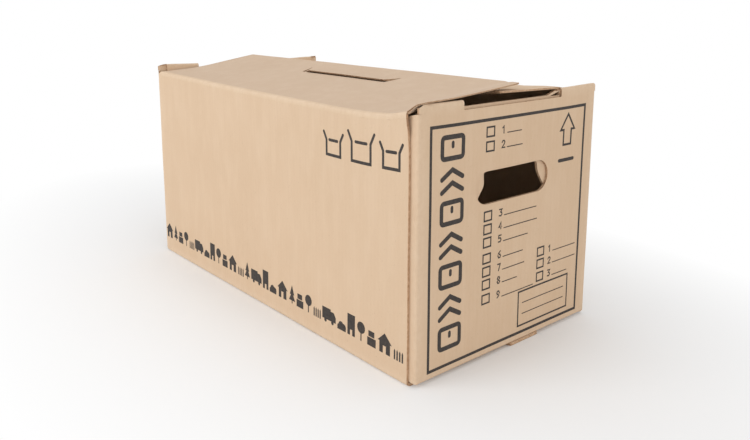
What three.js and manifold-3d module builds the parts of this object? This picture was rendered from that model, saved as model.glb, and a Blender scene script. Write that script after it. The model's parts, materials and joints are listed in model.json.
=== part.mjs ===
// Moving carton folded from one sheet of single-wall corrugated board.
// Its walls, double ends, bottom and rear top flap are one piece, and the front top flap turns on its fold.
// Millimetres, +Z up: X runs along the length and Y across. The origin is under the bottom's middle.
import * as THREE from 'three';
import * as BufferGeometryUtils from 'three/addons/utils/BufferGeometryUtils.js';
import Module from 'manifold-3d';

const wasm = await Module();
wasm.setup();

// Driving dimensions of the carton
const cartonLength = 600;
const cartonWidth = 310;
const endPanelHeight = 306; // floor to the rolled top of a double end
const sideFoldDrop = 12; // top of the double ends down to the top of the long sides' folds
const boardThickness = 3;
const layerGap = 0.4; // free space between two layers that lie on each other
const glueBite = 0.2; // how far glued layers sink into each other

// Glued joint at the front corner of the near side
const jointSetback = 11; // corner to the side wall's cut edge
const glueTabReach = 45; // corner to the end of the tab inside

// Hand holes through both layers of each end
const handHoleWidth = 128;
const handHoleHeight = 38;
const handHoleCentre = 204; // floor to the middle of the hole
const innerHoleTopWidth = 93;
const innerHoleBottomWidth = 119;
const innerHoleKneeWidth = 97; // where the sides of the inner hole turn
const innerHoleKneeHeight = 14.4; // its lower edge up to there
const innerHoleCorner = 6; // cut off its lower corners
const innerHoleInset = 1; // inner hole's edge inside the outer hole's at top and bottom

// Notch in the top of each end, where the rear flap lies through
const notchWidth = 170;
const notchDepth = 10.5;
const innerNotchRise = 3.6; // inner layer's notch bottom above the outer one's

// Bottom: two long flaps outside, two end flaps inside them
const centreSeam = 0.8; // between the long flaps' meeting edges
const bottomFlapSetback = 9; // long flaps' ends inside the end panels' outer faces
const endFlapReach = 150;
const lockTabWidth = 58; // tab of the far flap that shows under the end panel
const lockTabOffset = 2; // seam to the tab
const lockTabChamfer = 3;

// Top flaps
const frontFlapWidth = 168;
const rearFlapWidth = 180;
const rearFlapRise = 12; // from the rear flap's fold to its free edge
const restGap = 1; // from the rear flap's free edge to the front flap that lies over it
const frontFlapSag = 2.5; // middle of the front flap below a straight line from fold to edge
const rearFlapCrown = 5; // middle of the rear flap above such a line
const flapTaper = 6; // the front flap's ends step back by this much at the free edge
const bendWidth = 28; // the front flap's front end rises over the end panel along this length
const rootClearance = 0.3; // hinge line to the front flap's first edge

// Tongue cut out of the front flap on three sides
const tongueTipWidth = 178;
const tongueRootWidth = 194;
const tongueReach = 22; // root to tip, towards the near side
const tongueRoot = 136; // front fold to the tongue's uncut side
const tongueCentre = 31; // middle of the length to the middle of the tongue
const tongueLift = 3; // tip above the flap around it
const slitWidth = 1.6;

const halfLength = cartonLength / 2;
const halfWidth = cartonWidth / 2;
const foldHeight = endPanelHeight - sideFoldDrop;
const wallTop = foldHeight - boardThickness - layerGap;
const endPanelFoot = boardThickness + layerGap;
const endFlapTop = endPanelFoot + boardThickness;
const innerPanelOuterX = halfLength - boardThickness - layerGap;
const innerPanelInnerX = innerPanelOuterX - boardThickness;
const notchBottom = endPanelHeight - notchDepth;
const rearFreeEdge = halfWidth - rearFlapWidth;
const gridStep = 25; // spacing of the flaps' height grid

// Closed three.js geometry to a solid that can be joined and cut
function solidOf(geometry) {
  const bare = geometry.clone();
  bare.deleteAttribute('normal');
  bare.deleteAttribute('uv');
  const merged = BufferGeometryUtils.mergeVertices(bare, 1e-4);
  const vertProperties = new Float32Array(merged.attributes.position.array);
  const triVerts = new Uint32Array(merged.index.array);
  return new wasm.Manifold(new wasm.Mesh({ numProp: 3, vertProperties, triVerts }));
}

function meshOf(name, solid, material) {
  const { vertProperties, triVerts } = solid.getMesh();
  const geometry = new THREE.BufferGeometry();
  geometry.setAttribute('position', new THREE.BufferAttribute(new Float32Array(vertProperties), 3));
  geometry.setIndex(new THREE.BufferAttribute(new Uint32Array(triVerts), 1));
  geometry.computeVertexNormals();
  const mesh = new THREE.Mesh(geometry, material);
  mesh.name = name;
  return mesh;
}

// Outline through a list of [x, y] points
function outline(points) {
  return new THREE.Shape(points.map(([x, y]) => new THREE.Vector2(x, y)));
}

function rectangle(x0, y0, x1, y1) {
  return outline([[x0, y0], [x1, y0], [x1, y1], [x0, y1]]);
}

// Board of a given thickness from its outline. The outline's two axes and the way it grows are world axes.
function board(shape, across, up, origin, thickness = boardThickness) {
  const options = { depth: thickness, bevelEnabled: false, curveSegments: 8 };
  const geometry = new THREE.ExtrudeGeometry(shape, options);
  const frame = new THREE.Matrix4().makeBasis(across, up, new THREE.Vector3().crossVectors(across, up));
  geometry.applyMatrix4(frame.setPosition(origin));
  return solidOf(geometry);
}

const alongX = new THREE.Vector3(1, 0, 0);
const alongY = new THREE.Vector3(0, 1, 0);
const alongZ = new THREE.Vector3(0, 0, 1);

// Upright board across the length: outline in Y and Z, growing from x towards +X
function endBoard(shape, x, thickness) {
  return board(shape, alongY, alongZ, new THREE.Vector3(x, 0, 0), thickness);
}

// Upright board along the length: outline in X and Z, its far face at y
function sideBoard(shape, y, thickness) {
  return board(shape, alongX, alongZ, new THREE.Vector3(0, y, 0), thickness);
}

// Lying board: outline in X and Y, growing upwards from z
function flatBoard(shape, z, thickness) {
  return board(shape, alongX, alongY, new THREE.Vector3(0, 0, z), thickness);
}

// Evenly spaced stations from start to end, with the given ones in between kept
function stations(start, end, kept) {
  const count = Math.ceil((end - start) / gridStep);
  const even = Array.from({ length: count + 1 }, (_, i) => start + ((end - start) * i) / count);
  const inside = kept.filter((value) => value > start && value < end);
  const free = even.filter((value) => inside.every((place) => Math.abs(place - value) > gridStep / 5));
  return [...new Set([start, ...free, ...inside, end])].sort((a, b) => a - b);
}

// Closed sheet over a grid, its top at heightAt(x, y), one board thick
function sheet(xs, ys, heightAt) {
  const positions = [];
  for (const drop of [0, boardThickness]) {
    for (const y of ys) for (const x of xs) positions.push(x, y, heightAt(x, y) - drop);
  }
  const columns = xs.length;
  const below = columns * ys.length;
  const at = (column, row) => row * columns + column;
  const faces = [];
  const quad = (a, b, c, d) => faces.push(a, b, c, a, c, d);
  for (let row = 0; row + 1 < ys.length; row++) {
    for (let column = 0; column + 1 < columns; column++) {
      const corners = [at(column, row), at(column + 1, row), at(column + 1, row + 1), at(column, row + 1)];
      quad(...corners);
      quad(...corners.map((corner) => corner + below).reverse());
    }
  }
  const wall = (a, b) => quad(b, a, a + below, b + below);
  const lastRow = ys.length - 1;
  for (let column = 0; column + 1 < columns; column++) {
    wall(at(column, 0), at(column + 1, 0));
    wall(at(column + 1, lastRow), at(column, lastRow));
  }
  for (let row = 0; row + 1 < ys.length; row++) {
    wall(at(columns - 1, row), at(columns - 1, row + 1));
    wall(at(0, row + 1), at(0, row));
  }
  const geometry = new THREE.BufferGeometry();
  geometry.setAttribute('position', new THREE.Float32BufferAttribute(positions, 3));
  geometry.setIndex(faces);
  return solidOf(geometry);
}

// Slot with round ends, in an end panel's Y and Z
function handHoleOutline() {
  const radius = handHoleHeight / 2;
  const reach = handHoleWidth / 2 - radius;
  const shape = new THREE.Shape();
  shape.moveTo(-reach, handHoleCentre - radius);
  shape.lineTo(reach, handHoleCentre - radius);
  shape.absarc(reach, handHoleCentre, radius, -Math.PI / 2, Math.PI / 2, false);
  shape.lineTo(-reach, handHoleCentre + radius);
  shape.absarc(-reach, handHoleCentre, radius, Math.PI / 2, Math.PI * 1.5, false);
  return shape;
}

// The inner layer's hole is narrower at the top, where its edge is folded in
function innerHoleOutline() {
  const half = handHoleHeight / 2 - innerHoleInset;
  const low = handHoleCentre - half;
  const top = innerHoleTopWidth / 2;
  const bottom = innerHoleBottomWidth / 2;
  const knee = innerHoleKneeWidth / 2;
  const kneeZ = low + innerHoleKneeHeight;
  const cut = innerHoleCorner;
  return outline([[-bottom + cut, low], [bottom - cut, low], [bottom, low + cut], [knee, kneeZ],
    [top, low + 2 * half], [-top, low + 2 * half], [-knee, kneeZ], [-bottom, low + cut]]);
}

// Outer layer, inner layer and the roll that joins them over the top. side is 1 or -1 along X.
function doubleEnd(side) {
  const nearEdge = side > 0 ? -halfWidth + boardThickness : -halfWidth;
  const innerNear = nearEdge + boardThickness + layerGap;
  const innerFar = halfWidth - boardThickness - layerGap;
  const place = (outerX) => (side > 0 ? outerX - boardThickness : -outerX);
  const outer = endBoard(rectangle(nearEdge, endPanelFoot, halfWidth, endPanelHeight), place(halfLength));
  const notch = rectangle(-notchWidth / 2, notchBottom, notchWidth / 2, endPanelHeight + 1);
  const innerShape = rectangle(innerNear, endFlapTop + layerGap, innerFar, endPanelHeight);
  const inner = endBoard(innerShape, place(innerPanelOuterX));
  const innerNotchBottom = notchBottom + innerNotchRise;
  const innerNotch = rectangle(-notchWidth / 2, innerNotchBottom, notchWidth / 2, endPanelHeight + 1);
  const rollX = side > 0 ? innerPanelInnerX : -halfLength;
  const rollShape = rectangle(innerNear, endPanelHeight - boardThickness, innerFar, endPanelHeight);
  const roll = endBoard(rollShape, rollX, halfLength - innerPanelInnerX);
  const cutterX = (outerX) => place(outerX) - layerGap / 2;
  const cutterDepth = boardThickness + layerGap;
  const outerCut = (shape) => endBoard(shape, cutterX(halfLength), cutterDepth);
  const innerCut = (shape) => endBoard(shape, cutterX(innerPanelOuterX), cutterDepth);
  return outer.add(inner).add(roll)
    .subtract(outerCut(handHoleOutline())).subtract(innerCut(innerHoleOutline()))
    .subtract(outerCut(notch)).subtract(innerCut(innerNotch));
}

function sideWalls() {
  const near = sideBoard(
    rectangle(-halfLength, 0, halfLength - jointSetback, wallTop), -halfWidth + boardThickness);
  const far = sideBoard(rectangle(-halfLength, 0, halfLength, foldHeight), halfWidth);
  return near.add(far);
}

// Tab of the front end panel, glued inside the near side wall
function glueTab() {
  const lean = boardThickness; // its two cut edges slope by one board
  const shape = outline([
    [halfLength, endPanelFoot], [halfLength, wallTop + boardThickness],
    [halfLength - glueTabReach, wallTop - lean], [halfLength - glueTabReach, endPanelFoot + lean]]);
  return sideBoard(shape, -halfWidth + 2 * boardThickness, boardThickness + glueBite);
}

function bottomFlaps() {
  const flapEnd = halfLength - bottomFlapSetback;
  const near = flatBoard(rectangle(-flapEnd, -halfWidth, flapEnd, -centreSeam / 2), 0);
  const tabStart = centreSeam / 2 + lockTabOffset;
  const tabEnd = tabStart + lockTabWidth;
  const farShape = outline([[-flapEnd, centreSeam / 2], [flapEnd, centreSeam / 2], [flapEnd, tabStart],
    [halfLength, tabStart + lockTabChamfer], [halfLength, tabEnd - lockTabChamfer], [flapEnd, tabEnd],
    [flapEnd, halfWidth], [-flapEnd, halfWidth]]);
  const far = flatBoard(farShape, 0);
  const inside = halfWidth - boardThickness - layerGap;
  const nearInside = -inside + boardThickness; // clear of the glued tab
  const frontShape = rectangle(halfLength - endFlapReach, nearInside, halfLength, inside);
  const rearShape = rectangle(-halfLength, -inside, -halfLength + endFlapReach, inside);
  return near.add(far).add(flatBoard(frontShape, endPanelFoot)).add(flatBoard(rearShape, endPanelFoot));
}

// Height of a curved flap's middle above or below a straight line, at a share of the way to its free edge
function bow(height, reach) {
  return height * 4 * reach * (1 - reach);
}

// Rear flap: rises from the far fold to its free edge, its ends through the notches
function rearTopFlap() {
  const inNotch = notchWidth / 2 - 2 * layerGap;
  const insideEnds = innerPanelInnerX - layerGap;
  const heightAt = (x, y) => {
    const reach = (halfWidth - y) / rearFlapWidth;
    return foldHeight + rearFlapRise * reach + bow(rearFlapCrown, reach);
  };
  const body = sheet([-halfLength, halfLength], stations(rearFreeEdge, halfWidth, []), heightAt);
  const cutTop = endPanelHeight + notchDepth;
  const trim = (side) => flatBoard(
    rectangle(Math.min(side * insideEnds, side * (halfLength + 1)), inNotch,
      Math.max(side * insideEnds, side * (halfLength + 1)), halfWidth + 1),
    wallTop - 1, cutTop - wallTop);
  return body.subtract(trim(1)).subtract(trim(-1));
}

// The front flap's free edge is as high as the rear flap's edge under it makes it
const restReach = (rearFreeEdge + halfWidth) / frontFlapWidth;
const restHeight = rearFlapRise + restGap + boardThickness + bow(frontFlapSag, restReach);
const freeEdgeHeight = foldHeight + restHeight / restReach;

// Height of the front flap's top: it rises from the fold, and its front end is bent up over the end panel
function frontFlapHeight(x, y) {
  const reach = (y + halfWidth) / frontFlapWidth;
  const middle = THREE.MathUtils.lerp(foldHeight, freeEdgeHeight, reach) - bow(frontFlapSag, reach);
  const onEndPanel = endPanelHeight + layerGap + boardThickness;
  const end = THREE.MathUtils.lerp(onEndPanel, freeEdgeHeight, reach ** 1.5);
  const bendStart = halfLength - bendWidth;
  const bendEnd = innerPanelInnerX - layerGap;
  return THREE.MathUtils.lerp(middle, end, THREE.MathUtils.smoothstep(x, bendStart, bendEnd));
}

function tongueOutline(margin) {
  const root = -halfWidth + tongueRoot;
  const tip = root - tongueReach;
  const tipHalf = tongueTipWidth / 2 + margin;
  const rootHalf = tongueRootWidth / 2 + margin;
  const seat = root + (margin > 0 ? 0 : slitWidth);
  return outline([[tongueCentre - rootHalf, seat], [tongueCentre - tipHalf, tip - margin],
    [tongueCentre + tipHalf, tip - margin], [tongueCentre + rootHalf, seat]]);
}

// Its rear end lies inside the rear end panel, its front end on top of the front one
function frontTopFlap() {
  const start = -halfWidth + rootClearance;
  const end = -halfWidth + frontFlapWidth;
  const bend = halfLength - bendWidth;
  const landing = innerPanelInnerX - layerGap;
  const midBend = (bend + landing) / 2;
  const xs = stations(-landing, halfLength, [bend, midBend, landing]);
  const ys = stations(start, end, []);
  const cutDepth = freeEdgeHeight - foldHeight + 4 * boardThickness;
  const cut = (margin) => flatBoard(tongueOutline(margin), wallTop - 1, cutDepth);
  const blank = outline([[-landing, start], [halfLength, start],
    [halfLength - flapTaper, end], [-landing + flapTaper, end]]);
  const body = sheet(xs, ys, frontFlapHeight).intersect(flatBoard(blank, wallTop - 1, cutDepth));
  const root = -halfWidth + tongueRoot;
  const lifted = (x, y) => frontFlapHeight(x, y) + tongueLift * Math.max(0, (root - y) / tongueReach);
  const half = tongueRootWidth / 2 + slitWidth;
  const tongueYs = stations(root - tongueReach - slitWidth, root + 2 * slitWidth, [root]);
  const tongueXs = stations(tongueCentre - half, tongueCentre + half, []);
  const tongue = sheet(tongueXs, tongueYs, lifted).intersect(cut(0));
  return body.subtract(cut(slitWidth)).add(tongue);
}

const kraft = new THREE.MeshStandardMaterial({ color: 0xd9bd98, roughness: 0.9, metalness: 0 });
const kraftTop = new THREE.MeshStandardMaterial({ color: 0xcfb898, roughness: 0.9, metalness: 0 });

const cartonSolid = sideWalls().add(doubleEnd(1)).add(doubleEnd(-1)).add(glueTab())
  .add(bottomFlaps()).add(rearTopFlap());

const carton = new THREE.Group();
carton.add(meshOf('carton', cartonSolid, kraft));
carton.add(meshOf('front_top_flap', frontTopFlap(), kraftTop));

export default carton;
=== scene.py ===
import json
import math

import bmesh
import bpy
import numpy as np
from mathutils import Matrix, Vector, noise
from mathutils.geometry import delaunay_2d_cdt


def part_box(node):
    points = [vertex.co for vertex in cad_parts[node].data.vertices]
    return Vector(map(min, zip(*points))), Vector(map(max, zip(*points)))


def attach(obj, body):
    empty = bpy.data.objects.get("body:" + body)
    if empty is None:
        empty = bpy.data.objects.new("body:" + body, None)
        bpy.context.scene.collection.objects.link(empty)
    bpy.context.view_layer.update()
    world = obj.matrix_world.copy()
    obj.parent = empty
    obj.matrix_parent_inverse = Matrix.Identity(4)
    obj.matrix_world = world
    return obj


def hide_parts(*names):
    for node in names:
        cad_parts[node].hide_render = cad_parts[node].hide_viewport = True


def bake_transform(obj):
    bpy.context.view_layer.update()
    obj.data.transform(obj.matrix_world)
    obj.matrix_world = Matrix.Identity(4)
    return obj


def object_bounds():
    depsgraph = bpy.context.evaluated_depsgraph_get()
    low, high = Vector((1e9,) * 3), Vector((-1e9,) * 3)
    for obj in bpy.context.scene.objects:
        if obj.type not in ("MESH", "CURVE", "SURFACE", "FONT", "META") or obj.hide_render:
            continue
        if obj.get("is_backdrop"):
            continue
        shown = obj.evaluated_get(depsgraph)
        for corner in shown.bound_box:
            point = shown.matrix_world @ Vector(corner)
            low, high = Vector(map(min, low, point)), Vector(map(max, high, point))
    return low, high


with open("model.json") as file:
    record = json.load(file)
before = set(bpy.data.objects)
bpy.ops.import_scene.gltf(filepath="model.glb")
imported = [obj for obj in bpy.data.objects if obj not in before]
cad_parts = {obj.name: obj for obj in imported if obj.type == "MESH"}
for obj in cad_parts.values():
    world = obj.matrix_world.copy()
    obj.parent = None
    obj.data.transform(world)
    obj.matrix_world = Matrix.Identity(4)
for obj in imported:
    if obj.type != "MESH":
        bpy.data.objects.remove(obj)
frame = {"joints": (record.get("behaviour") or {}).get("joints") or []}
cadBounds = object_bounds()
print("packed model loaded")

mm = 0.001
noise.seed_set(7)

# The corrugated sheet that the whole box is folded from
sheet = {
    "thickness": 3 * mm,
    "liner": 0.35 * mm,  # paper on each face
    "medium": 0.3 * mm,  # wavy paper between them
    "flutePitch": 6.5 * mm,
    "standBack": 1.6 * mm,  # middle layer behind an edge across the flutes
    "standBackAlong": 0.35 * mm,  # and behind an edge along them
    "standBackPlain": 0.02 * mm,  # and behind an edge that meets the next board
    "foldRadius": 3.2 * mm,
    "layerGap": 0.4 * mm,
    "cell": 11 * mm,  # mesh spacing on the flat parts
    "edgeRing": 2.5 * mm,  # mesh line inside a cut edge
    "edgeClear": 1.2 * mm,  # the same without such a line
    "closest": 0.25 * mm,  # between mesh points on an edge
    "foldCells": 6,
    "sharpAngle": 35,
    "wearAndHighlightWidth": 3.5 * mm,  # rubbed paper and painted highlight beside a fold
    "patternScale": 10,  # of the pattern that is kept as a UV map
}

# How the empty box has settled: the sag of the folds and the waviness of its walls
settling = {
    "nearFold": [(-299, 1.5), (-286, 3.0), (-252, 2.0), (-158, 0.2), (-78, -1.4), (0, -2.4),
                 (80, -3.4), (160, -4.2), (215, -4.0), (250, -2.0), (280, 0.2), (300, 0.2)],
    "farFold": [(-299, 1.0), (-240, 0.5), (0, -2.0), (240, 0.0), (299, 1.0)],
    "foldReach": 70 * mm,  # how far the folds' sag runs in from the sides
    "sideBulge": 1.6 * mm,
    "endBulge": 0.7 * mm,
    "bulgeReach": 30 * mm,  # how far in from the faces the bulge goes
    "waviness": 0.45 * mm,
    "waveSize": 85 * mm,
    "waveRise": 30 * mm,  # above the floor the waviness grows over this height
}

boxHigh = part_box("carton")[1]
halfLength, halfWidth = boxHigh[0], boxHigh[1]
foldLine = Vector(frame["joints"][0]["pos_m"])
thickness = sheet["thickness"]
foldRadius = sheet["foldRadius"]
quarterTurn = foldRadius * math.pi / 2
endFoot = thickness + sheet["layerGap"]


def smooth(value, low, high):
    t = min(1, max(0, (value - low) / (high - low)))
    return t * t * (3 - 2 * t)


def between(value, table):
    # Straight lines through a table of places and heights, both in millimetres
    places = [p * mm for p, _ in table]
    heights = [h * mm for _, h in table]
    return float(np.interp(value, places, heights))


def settle(point):
    # A point of the perfect box to where the standing box has it
    x, y, z = point
    height = min(1, max(0, z / foldLine.z))
    lift = 0
    for fold, away in (("nearFold", y + halfWidth), ("farFold", halfWidth - y)):
        if away < settling["foldReach"]:
            lift += between(x, settling[fold]) * (1 - smooth(away, 0, settling["foldReach"]))
    halfway = math.sin(math.pi * height)
    reach = settling["bulgeReach"]
    inMiddle = math.cos(math.pi / 2 * min(1, abs(x) / halfLength))
    bulgeY = settling["sideBulge"] * inMiddle * halfway * smooth(abs(y), halfWidth - reach, halfWidth)
    acrossEnd = math.cos(math.pi / 2 * min(1, abs(y) / halfWidth))
    bulgeX = settling["endBulge"] * acrossEnd * halfway * smooth(abs(x), halfLength - reach, halfLength)
    wave = noise.noise_vector(Vector(point) / settling["waveSize"]) * settling["waviness"]
    wave.z *= min(1, max(0, z / settling["waveRise"]))
    return Vector((x - math.copysign(bulgeX, x) + wave.x, y - math.copysign(bulgeY, y) + wave.y,
                   z + lift * height ** 2 + wave.z))


def newObject(name, data):
    thing = bpy.data.objects.new(name, data)
    bpy.context.scene.collection.objects.link(thing)
    return thing


# Mesh of a cut and folded board. Its pattern is flat, in u along the flutes' spacing and v along them.
def gridLines(low, high, folds, cell=None):
    cell = cell or sheet["cell"]
    stops = sorted([low, high] + [v for fold in folds for v in fold if low < v < high])
    lines = []
    for start, end in zip(stops, stops[1:]):
        inFold = any(a <= (start + end) / 2 <= b for a, b in folds)
        count = sheet["foldCells"] if inFold else max(1, math.ceil((end - start) / cell))
        lines += [start + (end - start) * i / count for i in range(count)]
    return lines + [high]


def pairs(loop):
    return list(zip(loop, loop[1:] + loop[:1]))


def partWay(a, b, share):
    return a[0] + (b[0] - a[0]) * share, a[1] + (b[1] - a[1]) * share


def signedArea(loop):
    return sum(a[0] * b[1] - b[0] * a[1] for a, b in pairs(loop)) / 2


def onGrid(loop, us, vs, turn):
    # The loop's corners, and points wherever it crosses the mesh's lines, turned the way that is asked
    if (signedArea(loop) > 0) != turn:
        loop = loop[::-1]
    points = []
    for a, b in pairs(loop):
        shares = [0.0]
        for axis, lines in ((0, us), (1, vs)):
            step = b[axis] - a[axis]
            if abs(step) > 1e-9:
                shares += [(line - a[axis]) / step for line in lines]
        shares = sorted(s for s in shares if 0 <= s < 1)
        length = math.dist(a, b)
        kept = []
        for share in shares:
            clear = not kept or (share - kept[-1]) * length > sheet["closest"]
            if clear and (share == 0 or (1 - share) * length > sheet["closest"]):
                kept.append(share)
        points += [partWay(a, b, share) for share in kept]
    return points


def standBack(loop, index):
    before, after = Vector(loop[index - 1]), Vector(loop[(index + 1) % len(loop)])
    run = (after - before).normalized()
    return sheet["standBackAlong"] + (sheet["standBack"] - sheet["standBackAlong"]) * abs(run.x)


def inward(loop, index):
    before, after = loop[index - 1], loop[(index + 1) % len(loop)]
    run = Vector((after[0] - before[0], after[1] - before[1]))
    return Vector((-run.y, run.x)).normalized()


def insideLoops(points, loops):
    # Even-odd test of many points against closed loops, and each point's distance from their edges
    x, y = points[:, 0], points[:, 1]
    inside = np.zeros(len(points), bool)
    distance = np.full(len(points), 1e9)
    for loop in loops:
        for (ax, ay), (bx, by) in pairs(loop):
            crosses = (ay > y) != (by > y)
            if ay != by:
                inside ^= crosses & (x < (bx - ax) * (y - ay) / (by - ay) + ax)
            length = max((bx - ax) ** 2 + (by - ay) ** 2, 1e-18)
            t = np.clip(((x - ax) * (bx - ax) + (y - ay) * (by - ay)) / length, 0, 1)
            distance = np.minimum(distance, np.hypot(x - ax - t * (bx - ax), y - ay - t * (by - ay)))
    return inside, distance


def fillPattern(outline, holes, us, vs, edgeRing=None):
    # Triangles inside an outline. Returns the points, the triangles and each loop as point numbers.
    loops = [onGrid(outline, us, vs, True)] + [onGrid(hole, us, vs, False) for hole in holes]
    grid = [(u, v) for u in us for v in vs]
    if edgeRing:
        for loop in loops:
            for i, p in enumerate(loop):
                step = inward(loop, i) * edgeRing
                grid.append((p[0] + step.x, p[1] + step.y))
    grid = np.array(grid)
    inside, distance = insideLoops(grid, loops)
    grid = grid[inside & (distance > (edgeRing or sheet["edgeClear"]) * 0.9)]
    points, edges, starts = [], [], []
    for loop in loops:
        starts.append(len(points))
        edges += [(len(points) + i, len(points) + (i + 1) % len(loop)) for i in range(len(loop))]
        points += loop
    coordinates = [Vector(p) for p in points] + [Vector(p) for p in grid]
    result = delaunay_2d_cdt(coordinates, edges, [], 0, 1e-7)
    filled, triangles, origins = result[0], result[2], result[3]
    middles = np.array([[sum(filled[i][k] for i in t) / 3 for k in (0, 1)] for t in triangles])
    kept = insideLoops(middles, loops)[0]
    triangles = [t for t, keep in zip(triangles, kept) if keep]
    newNumber = {old: new for new, olds in enumerate(origins) for old in olds}
    rings = [[newNumber[s + i] for i in range(len(loop))] for s, loop in zip(starts, loops)]
    return [tuple(p) for p in filled], [tuple(t) for t in triangles], rings


def fluteDepth(u):
    swing = thickness / 2 - sheet["liner"] - sheet["medium"] / 2
    return thickness / 2 + swing * math.sin(2 * math.pi * u / sheet["flutePitch"])


def fluteRibbon(vertices, faces, loop, place, plain):
    # The wavy paper that shows in a cut edge: a thin closed band, one board's flutes high
    step = sheet["flutePitch"] / 8
    rows = []
    for i, (a, b) in enumerate(pairs(loop)):
        count = max(1, math.ceil(abs(b[0] - a[0]) / step))
        normalA, normalB = inward(loop, i), inward(loop, (i + 1) % len(loop))
        behindA, behindB = standBack(loop, i), standBack(loop, (i + 1) % len(loop))
        for k in range(count):
            t = k / count
            p = Vector(partWay(a, b, t))
            rows.append((p, normalA.lerp(normalB, t), behindA + (behindB - behindA) * t, plain(*p)))
    half = sheet["medium"] / 2
    base = len(vertices)
    for p, normal, behind, hidden in rows:
        front = p + normal * behind * (0.9 if hidden else 0.2)
        back = p + normal * behind * 1.1
        middle = fluteDepth(p.x)
        for place2d, depth in ((front, middle - half), (front, middle + half),
                               (back, middle + half), (back, middle - half)):
            vertices.append(place(place2d.x, place2d.y, depth))
    for i in range(len(rows)):
        if rows[i][3] and rows[(i + 1) % len(rows)][3]:
            continue
        a, b = base + 4 * i, base + 4 * ((i + 1) % len(rows))
        for k in range(4):
            n = (k + 1) % 4
            faces.append((a + k, b + k, b + n, a + n))


def bend(length, radius, depth):
    # How far out and up a board's layer is after so much length of a bend round this radius
    turn, reach = length / radius, radius - depth
    return reach * math.cos(turn), reach * math.sin(turn)


def joinRibbon(bm, vertices, faces):
    new = [bm.verts.new(v) for v in vertices]
    made = [bm.faces.new([new[c] for c in corners]) for corners in faces]
    for face in made:
        face.material_index = 1
    bmesh.ops.recalc_face_normals(bm, faces=made)
    bmesh.ops.delete(bm, geom=[v for v in new if not v.link_faces], context="VERTS")


def makeBoard(name, outline, holes, place, us, vs, folds, cornerFolds, plain, paper):
    # outline and holes are in the pattern, place(u, v, depth) takes them into the box.
    # plain says where an edge meets the next board, so that it has no open flutes.
    points, triangles, rings = fillPattern(outline, holes, us, vs, sheet["edgeRing"])
    settled = lambda u, v, depth: settle(place(u, v, depth))
    vertices = [settled(u, v, 0) for u, v in points] + [settled(u, v, thickness) for u, v in points]
    count = len(points)
    faces = list(triangles) + [tuple(i + count for i in reversed(t)) for t in triangles]
    surfaceFaces = len(faces)
    liner = sheet["liner"]
    flats = [[points[i] for i in loop] for loop in rings]
    for loop, flat in zip(rings, flats):
        rows = []
        for i, p in enumerate(flat):
            inset = inward(flat, i) * (sheet["standBackPlain"] if plain(*p) else standBack(flat, i))
            back = (p[0] + inset.x, p[1] + inset.y)
            start = len(vertices)
            vertices += [settled(*p, liner), settled(*back, liner),
                         settled(*back, thickness - liner), settled(*p, thickness - liner)]
            rows.append([loop[i], start, start + 1, start + 2, start + 3, loop[i] + count])
        for a, b in pairs(rows):
            faces += [(a[k], a[k + 1], b[k + 1], b[k]) for k in range(5)]
    mesh = bpy.data.meshes.new(name)
    mesh.from_pydata(vertices, [], faces)
    bm = bmesh.new()
    bm.from_mesh(mesh)
    bmesh.ops.recalc_face_normals(bm, faces=bm.faces)
    bm.faces.ensure_lookup_table()
    for i, face in enumerate(bm.faces):
        face.material_index = 0 if i < surfaceFaces else 1
        face.smooth = i < surfaceFaces
    ribbonVertices, ribbonFaces = [], []
    for flat in flats:
        fluteRibbon(ribbonVertices, ribbonFaces, flat, settled, plain)
    joinRibbon(bm, ribbonVertices, ribbonFaces)
    bm.to_mesh(mesh)
    bm.free()
    mesh.set_sharp_from_angle(angle=math.radians(sheet["sharpAngle"]))
    layout = points + points + [(0, 0)] * (len(mesh.vertices) - 2 * count)
    writePattern(mesh, layout, 2 * count, folds, cornerFolds)
    mesh.materials.append(paper)
    mesh.materials.append(cutEdgeMaterial)
    print("made", name, len(mesh.polygons), "faces")
    return newObject(name, mesh)


def writePattern(mesh, layout, surfaceCount, folds, cornerFolds):
    # Keeps the flat pattern as a UV map, and how near each point is to a fold or crease, for the finish's
    # rubbed paper and painted highlight there
    uv = mesh.uv_layers.new(name="pattern")
    flat = np.array(layout)
    corners = np.zeros(len(mesh.loops), int)
    mesh.loops.foreach_get("vertex_index", corners)
    uv.data.foreach_set("uv", (flat[corners] * sheet["patternScale"]).astype(np.float32).ravel())
    wearAndHighlight = np.zeros(len(flat))
    for lines, axis in ((folds, 1), (cornerFolds, 0)):
        for low, high in lines:
            away = np.maximum(0, np.maximum(low - flat[:, axis], flat[:, axis] - high))
            wearAndHighlight = np.maximum(wearAndHighlight, np.exp(-(away / sheet["wearAndHighlightWidth"]) ** 2))
    wearAndHighlight[surfaceCount:] = 0
    attribute = mesh.attributes.new("foldWearAndHighlight", "FLOAT", "POINT")
    attribute.data.foreach_set("value", wearAndHighlight.astype(np.float32))


# Finishes
def connect(tree, node, inputs):
    # Each input gets its value, or a link where the value is another node's output
    for key, value in inputs.items():
        if isinstance(value, bpy.types.NodeSocket):
            tree.links.new(value, node.inputs[key])
        else:
            node.inputs[key].default_value = value


def addNode(tree, kind, inputs=None, **settings):
    node = tree.nodes.new(kind)
    for key, value in settings.items():
        setattr(node, key, value)
    connect(tree, node, inputs or {})
    return node


def colour(red, green, blue):
    # A colour read off a screen, 0 to 255, as the shader wants it
    return tuple(((c / 255 + 0.055) / 1.055) ** 2.4 for c in (red, green, blue)) + (1,)


def newMaterial(name):
    material = bpy.data.materials.new(name)
    material.use_nodes = True
    tree = material.node_tree
    tree.nodes.clear()
    shader = addNode(tree, "ShaderNodeBsdfPrincipled")
    addNode(tree, "ShaderNodeOutputMaterial", {0: shader.outputs[0]})
    return material, tree, shader


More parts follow.
